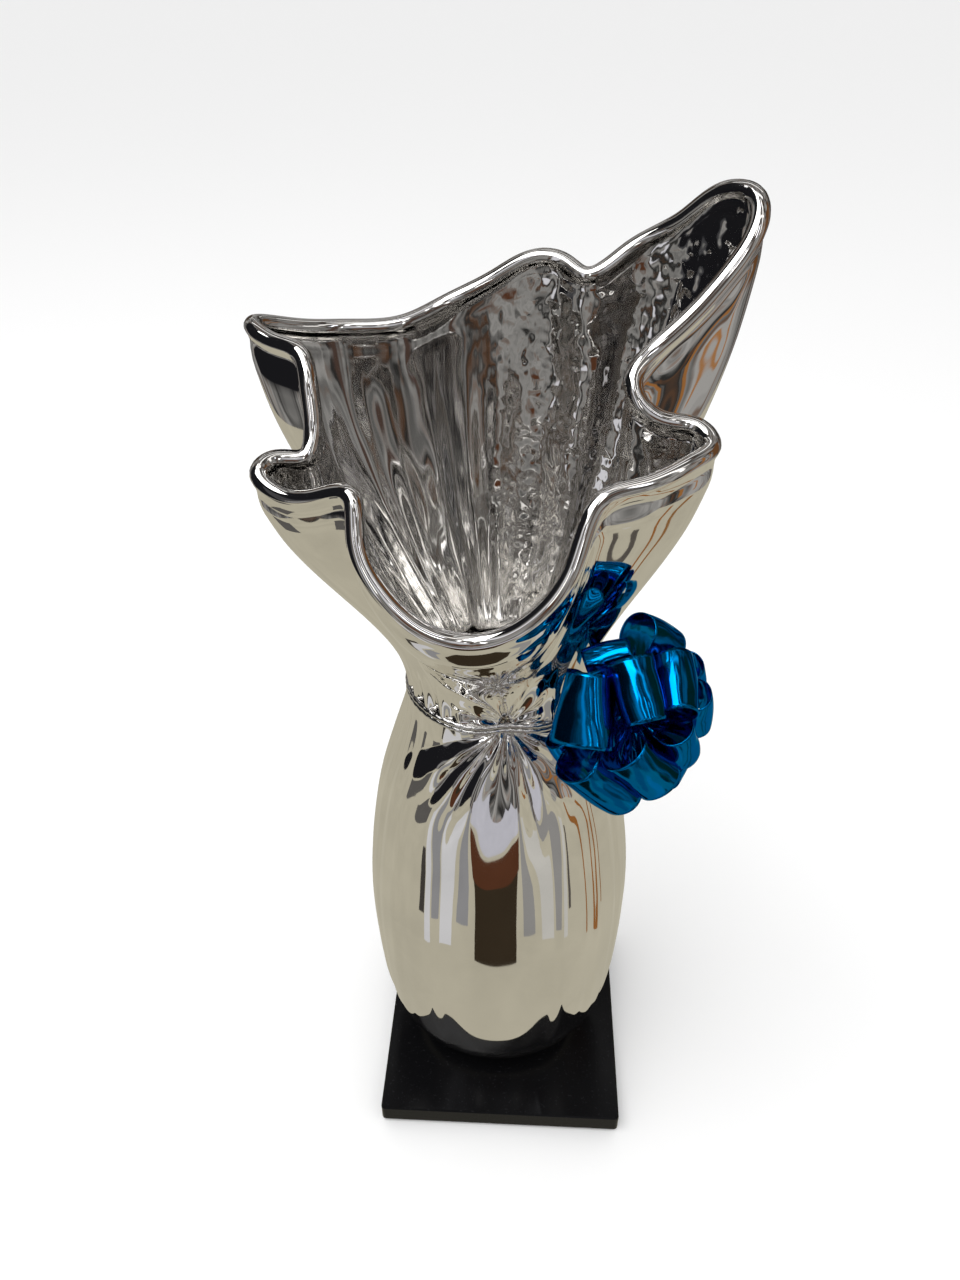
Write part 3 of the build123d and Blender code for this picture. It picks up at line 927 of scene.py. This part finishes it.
# ------------------------------------------------------------------ stage
def panel_group():
    """Node group: 1 inside a rectangle of the sky seen in one direction, soft at its edge.

    The direction is turned so that the panel's centre lies on +X; the sideways and upward
    slopes there are compared with the panel's half sizes.
    """
    tree = bpy.data.node_groups.new("studio_panel", "ShaderNodeTree")
    for name, kind in (("Direction", "NodeSocketVector"), ("Turn", "NodeSocketVector"),
                       ("Half width", "NodeSocketFloat"), ("Half height", "NodeSocketFloat"),
                       ("Soft", "NodeSocketFloat")):
        tree.interface.new_socket(name, in_out="INPUT", socket_type=kind)
    tree.interface.new_socket("Mask", in_out="OUTPUT", socket_type="NodeSocketFloat")
    entry = tree.nodes.new("NodeGroupInput")
    leave = tree.nodes.new("NodeGroupOutput")
    turned = add_node(tree, "ShaderNodeVectorRotate", {
        "Vector": entry.outputs["Direction"], "Rotation": entry.outputs["Turn"],
    }, rotation_type="EULER_XYZ", invert=True)
    parts = add_node(tree, "ShaderNodeSeparateXYZ", {"Vector": turned.outputs["Vector"]})
    ahead = calc(tree, "MAXIMUM", parts.outputs["X"], 0.001)
    masks = []
    for letter, half in (("Y", "Half width"), ("Z", "Half height")):
        slope = calc(tree, "ABSOLUTE", calc(tree, "DIVIDE", parts.outputs[letter], ahead))
        edge = calc(tree, "SUBTRACT", entry.outputs[half], slope)
        share = calc(tree, "DIVIDE", edge, entry.outputs["Soft"])
        node = add_node(tree, "ShaderNodeClamp", {"Value": share})
        masks.append(node.outputs[0])
    front = calc(tree, "GREATER_THAN", parts.outputs["X"], 0.01)
    both = calc(tree, "MULTIPLY", calc(tree, "MULTIPLY", *masks), front)
    tree.links.new(both, leave.inputs["Mask"])
    return tree


# Panels that the glaze mirrors: bearing from the front to the right and height above the
# level, in degrees, half width and half height as slopes, softness, colour, strength
STUDIO_PANELS = [
    (0, 72, 0.7, 0.05, 0.04, (1.0, 0.98, 0.96), 1.5),
    (55, 60, 0.05, 0.7, 0.04, (1.0, 0.98, 0.96), 1.8),
    (-60, 58, 0.05, 0.6, 0.04, (0.86, 0.88, 1.0), 1.8),
    (180, 60, 0.5, 0.04, 0.03, (1.0, 1.0, 1.0), 1.8),
    (180, 82, 0.30, 0.06, 0.04, (1.0, 1.0, 1.0), 1.6),
    (180, 36, 0.6, 0.03, 0.03, (1.0, 1.0, 1.0), 1.3),
    (-14, 24, 0.030, 0.14, 0.02, (1.0, 1.0, 1.0), 4.5),
    (4, 34, 0.028, 0.16, 0.02, (1.0, 1.0, 1.0), 5.0),
    (20, 26, 0.030, 0.13, 0.02, (1.0, 1.0, 1.0), 4.5),
    (-30, 42, 0.035, 0.18, 0.03, (0.9, 0.92, 1.0), 4.0),
    (-12, 52, 0.035, 0.12, 0.03, (1.0, 1.0, 1.0), 4.0),
    (16, 54, 0.035, 0.12, 0.03, (1.0, 1.0, 1.0), 4.0),
    (36, 44, 0.035, 0.18, 0.03, (0.9, 0.92, 1.0), 4.0),
    (8, 30, 0.16, 0.22, 0.08, (0.62, 0.62, 0.66), 1.0),
    (-32, 20, 0.10, 0.5, 0.05, (0.80, 0.80, 0.86), 1.0),
    (0, 6, 0.16, 0.14, 0.05, (0.10, 0.04, 0.02), 1.0),
    (28, 10, 0.08, 0.7, 0.04, (0.08, 0.05, 0.04), 1.0),
    (72, 5, 0.035, 0.6, 0.015, (0.30, 0.13, 0.04), 1.0),
    (82, 4, 0.020, 0.6, 0.012, (0.34, 0.16, 0.06), 1.0),
    (102, 12, 0.28, 0.6, 0.08, (0.13, 0.06, 0.025), 1.0),
    (-84, 15, 0.60, 1.0, 0.08, (0.010, 0.010, 0.012), 1.0),
    (-58, 8, 0.05, 0.5, 0.03, (0.06, 0.06, 0.065), 1.0),
    (150, 12, 0.30, 0.35, 0.06, (0.045, 0.04, 0.035), 1.0),
    (-150, 15, 0.25, 0.30, 0.06, (0.06, 0.045, 0.035), 1.0),
]


def studio_world(settings):
    """Plain pale surroundings; mirror rays see a striped grey room with panels and flags."""
    world = bpy.data.worlds.new("soft_studio")
    world.use_nodes = True
    tree = world.node_tree
    tree.nodes.clear()
    output = tree.nodes.new("ShaderNodeOutputWorld")
    plain = add_node(tree, "ShaderNodeBackground",
                     {"Color": (1.0, 1.0, 1.0, 1), "Strength": 0.95})
    direction = add_node(tree, "ShaderNodeTexCoord").outputs["Generated"]
    stripes = add_node(tree, "ShaderNodeMapping",
                       {"Vector": direction, "Scale": (7.0, 7.0, 1.6)}).outputs["Vector"]
    shelves = scaled(tree, noise(tree, stripes, 1.0, 2.5, 0.55, 0.3), 0.38, 0.64)
    colour = mixed(tree, shelves, rgba(settings.room, 0.25), rgba(settings.room, 3.2))
    warm = scaled(tree, noise(tree, stripes, 1.7, 1.0), 0.56, 0.66, 0.0, 0.5)
    colour = mixed(tree, warm, colour, (0.16, 0.075, 0.035, 1.0))
    group = panel_group()
    for bearing, rise, half_width, half_height, soft, tint, strength in STUDIO_PANELS:
        mask = add_node(tree, "ShaderNodeGroup", node_tree=group)
        tree.links.new(direction, mask.inputs["Direction"])
        mask.inputs["Turn"].default_value = (0, -math.radians(rise), math.radians(bearing - 90))
        mask.inputs["Half width"].default_value = half_width
        mask.inputs["Half height"].default_value = half_height
        mask.inputs["Soft"].default_value = soft
        bright = (*[channel * strength for channel in tint], 1.0)
        colour = mixed(tree, mask.outputs["Mask"], colour, bright)
    mirrored = add_node(tree, "ShaderNodeBackground", {"Color": colour, "Strength": 1.0})
    glossy = add_node(tree, "ShaderNodeLightPath").outputs["Is Glossy Ray"]
    choose = add_node(tree, "ShaderNodeMixShader", {
        0: glossy, 1: plain.outputs[0], 2: mirrored.outputs[0]})
    tree.links.new(choose.outputs[0], output.inputs["Surface"])
    bpy.context.scene.world = world


def stage_sheet(name, low, high, height, material):
    """Flat rectangle of the stage, in metres."""
    x, y = np.meshgrid([low[0], high[0]], [low[1], high[1]])
    points = np.stack([x, y, np.full_like(x, height, float)], -1) / MM
    piece = mesh_piece(name, points, grid_faces(2, 2, False, False), material)
    return piece


# Cards on the floor that only mirror rays see: name, bearings of the two sides from the front
# to the right, near and far distance from the vessel's axis in metres, colour
MIRROR_CARDS = [
    ("card_front_dark", -16, 15, 0.112, 0.215, (0.035, 0.025, 0.015)),
    ("card_front_brown", -17, 17, 0.215, 0.275, (0.085, 0.032, 0.016)),
    ("card_front_pale", -20, 18, 0.290, 0.400, (0.50, 0.50, 0.56)),
    ("card_left_grey", -34, -23, 0.150, 0.360, (0.26, 0.26, 0.27)),
    ("card_left_pale", -50, -37, 0.120, 0.360, (0.60, 0.60, 0.62)),
    ("card_left_dark", -57, -51, 0.150, 0.230, (0.05, 0.045, 0.04)),
    ("card_left_far", -84, -64, 0.300, 0.440, (0.10, 0.095, 0.09)),
    ("card_right_grey", 22, 33, 0.140, 0.360, (0.27, 0.265, 0.26)),
    ("card_right_pale", 38, 47, 0.130, 0.330, (0.52, 0.51, 0.48)),
    ("card_right_dark", 50, 54, 0.160, 0.300, (0.09, 0.08, 0.07)),
    ("card_right_strip", 71, 74, 0.120, 0.440, (0.27, 0.11, 0.03)),
    ("card_right_strip_far", 84, 87, 0.140, 0.440, (0.24, 0.11, 0.035)),
]


def mirror_card(name, corners, height, colour):
    """Glowing four-cornered card on the floor, in metres, that only mirror rays see."""
    card = bpy.data.materials.new(name)
    card.use_nodes = True
    tree = card.node_tree
    tree.nodes.clear()
    output = tree.nodes.new("ShaderNodeOutputMaterial")
    cloudy = noise(tree, object_place(tree), 14.0, 2)
    tone = mixed(tree, cloudy, rgba(colour, 0.85), rgba(colour, 1.15))
    glow = add_node(tree, "ShaderNodeEmission", {"Color": tone})
    tree.links.new(glow.outputs[0], output.inputs["Surface"])
    points = np.array([[x, y, height] for x, y in corners]) / MM
    piece = mesh_piece(name, points, np.array([[0, 1, 2, 3]]), card)
    for ray in ("camera", "diffuse", "shadow", "transmission", "volume_scatter"):
        setattr(piece, f"visible_{ray}", False)


CAMERA_PLACE = (0.00407, -0.2296, 0.3697)       # metres
CAMERA_BEARING = 3.14                           # turned left from +Y, in degrees
CAMERA_PITCH = 36.7                             # looking down, in degrees
CAMERA_ROLL = -0.4                              # in degrees
CAMERA_LENS = 27.08                             # millimetres, on a 36 mm sensor
LAMP_PLACE = (-0.35, -0.25, 1.25)               # metres
LAMP_TARGET = (0, 0, 0.15)                      # metres


class SACKVASE_OT_stage(bpy.types.Operator):
    """Set up the floor, the soft studio light and the camera"""
    bl_idname = "sack_vase.stage"
    bl_label = "Floor, light and camera"

    def execute(self, context):
        settings = context.scene.sack_vase_stage
        scene = context.scene
        scene.view_settings.view_transform = "Standard"
        studio_world(settings)
        material, _, shader = new_shader("plain_floor")
        set_finish(None, shader, rgba(settings.floor), 0.9)
        shader.inputs["Specular IOR Level"].default_value = 0.1
        floor = stage_sheet("floor", (-20, -20), (20, 20), 0.0, material)
        floor.visible_glossy = False
        mirror_card("card_table", [(-0.46, -0.30), (0.46, -0.30), (0.46, 0.50), (-0.46, 0.50)],
                    0.0002, settings.table)
        for number, (name, first, last, near, far, colour) in enumerate(MIRROR_CARDS):
            corners = [(AXIS[0] * MM + away * math.sin(math.radians(bearing)),
                        AXIS[1] * MM - away * math.cos(math.radians(bearing)))
                       for away, bearing in ((near, first), (near, last), (far, last),
                                             (far, first))]
            mirror_card(name, corners, 0.0004 + 0.00002 * number, colour)
        lamp = bpy.data.lights.new("soft_box", "AREA")
        lamp.shape = "RECTANGLE"
        lamp.size, lamp.size_y = 0.9, 0.6
        lamp.energy = 6.0
        lamp_object = bpy.data.objects.new("soft_box", lamp)
        lamp_object.location = LAMP_PLACE
        aim = Vector(LAMP_TARGET) - lamp_object.location
        lamp_object.rotation_euler = aim.to_track_quat("-Z", "Y").to_euler()
        scene.collection.objects.link(lamp_object)
        view = bpy.data.cameras.new("camera")
        view.sensor_width = 36.0
        view.lens = CAMERA_LENS
        view.clip_start = 0.01
        camera = bpy.data.objects.new("camera", view)
        camera.location = CAMERA_PLACE
        azimuth, pitch, tilt = map(math.radians, (CAMERA_BEARING, CAMERA_PITCH, CAMERA_ROLL))
        look = Vector((-math.sin(azimuth) * math.cos(pitch),
                       math.cos(azimuth) * math.cos(pitch), -math.sin(pitch)))
        turn = look.to_track_quat("-Z", "Y").to_matrix() @ Matrix.Rotation(tilt, 3, "Z")
        camera.rotation_euler = turn.to_euler()
        scene.collection.objects.link(camera)
        scene.camera = camera
        return {"FINISHED"}


class SACKVASE_PT_panel(bpy.types.Panel):
    """Lists the steps that make the trophy vase"""
    bl_label = "Trophy vase"
    bl_space_type = "VIEW_3D"
    bl_region_type = "UI"
    bl_category = "Trophy vase"

    def draw(self, context):
        for operator in OPERATORS:
            self.layout.operator(operator.bl_idname)
        for name, kind in SETTINGS.items():
            box = self.layout.box()
            for key in kind.__annotations__:
                box.prop(getattr(context.scene, name), key)


OPERATORS = [SACKVASE_OT_base, SACKVASE_OT_clamp, SACKVASE_OT_vessel, SACKVASE_OT_cord,
             SACKVASE_OT_bow, SACKVASE_OT_stage]
CLASSES = [*SETTINGS.values(), *OPERATORS, SACKVASE_PT_panel]


def register():
    for kind in CLASSES:
        bpy.utils.register_class(kind)
    for name, kind in SETTINGS.items():
        setattr(bpy.types.Scene, name, bpy.props.PointerProperty(type=kind))


def unregister():
    for name in SETTINGS:
        delattr(bpy.types.Scene, name)
    for kind in reversed(CLASSES):
        bpy.utils.unregister_class(kind)


def main():
    register()
    bpy.ops.sack_vase.base()
    bpy.ops.sack_vase.clamp()
    bpy.ops.sack_vase.vessel()
    bpy.ops.sack_vase.cord()
    bpy.ops.sack_vase.bow()
    bpy.ops.sack_vase.stage()


if __name__ == "__main__":
    main()
